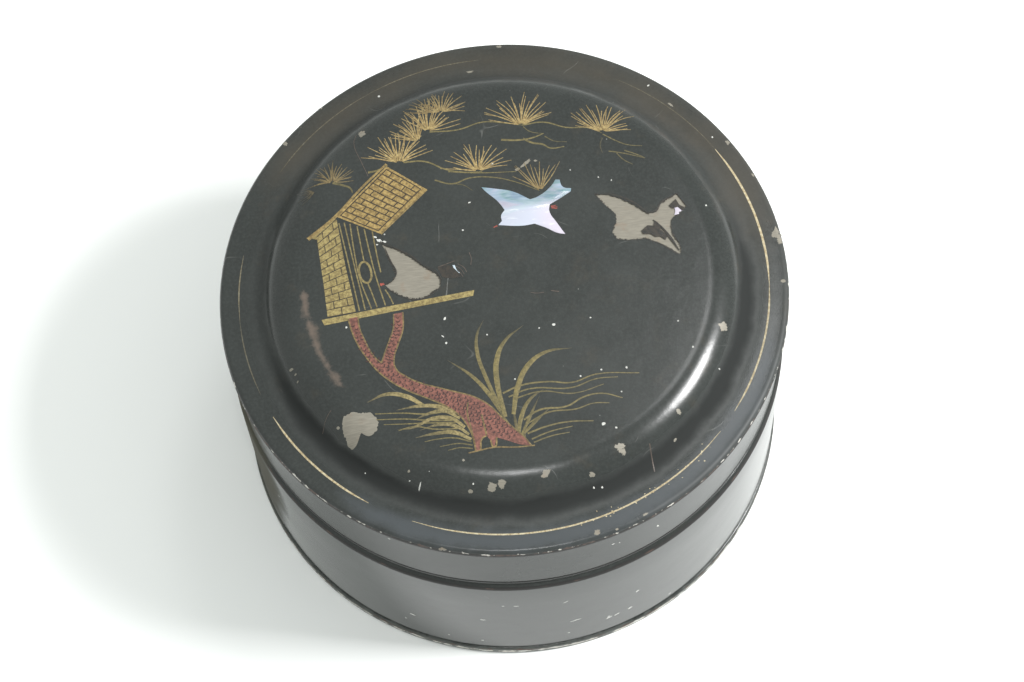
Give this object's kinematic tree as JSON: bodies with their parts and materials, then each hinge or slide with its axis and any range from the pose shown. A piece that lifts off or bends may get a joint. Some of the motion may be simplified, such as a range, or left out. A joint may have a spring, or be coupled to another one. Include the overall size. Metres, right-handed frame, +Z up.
{
  "type": "go stone bowl",
  "caption": "Round lacquered tin bowl for go stones, with a straight wall, an inner neck collar and a domed lift-off lid inlaid with mother-of-pearl.",
  "frame": {"origin": "centre of the foot rim's underside, on the surface the bowl stands on", "axes": "+Z up along the bowl's axis through the lid's centre; -Y towards the front of the painted lid, +X to its right"},
  "size_m": [0.131, 0.131, 0.0738],
  "materials": {
    "black_lacquer": "worn black lacquer on tinplate, satin to glossy",
    "inner_lacquer": "plain black lacquer, satin",
    "mother_of_pearl": "polished mother-of-pearl"
  },
  "bodies": {
    "bowl": {"body_wall": "black_lacquer", "foot_rim": "black_lacquer", "neck_collar": "inner_lacquer", "base_disc": "inner_lacquer"},
    "lid": {"lid_crown": "black_lacquer", "lid_skirt": "black_lacquer", "pearl_bird": "mother_of_pearl", "pearl_tail_chip": "mother_of_pearl", "pearl_tail_sliver": "mother_of_pearl"}
  },
  "joints": [
    {"name": "lid_lift", "type": "slide", "parent": "bowl", "child": "lid", "axis": [0, 0, 1], "range_m": [0, 0.06]}
  ]
}
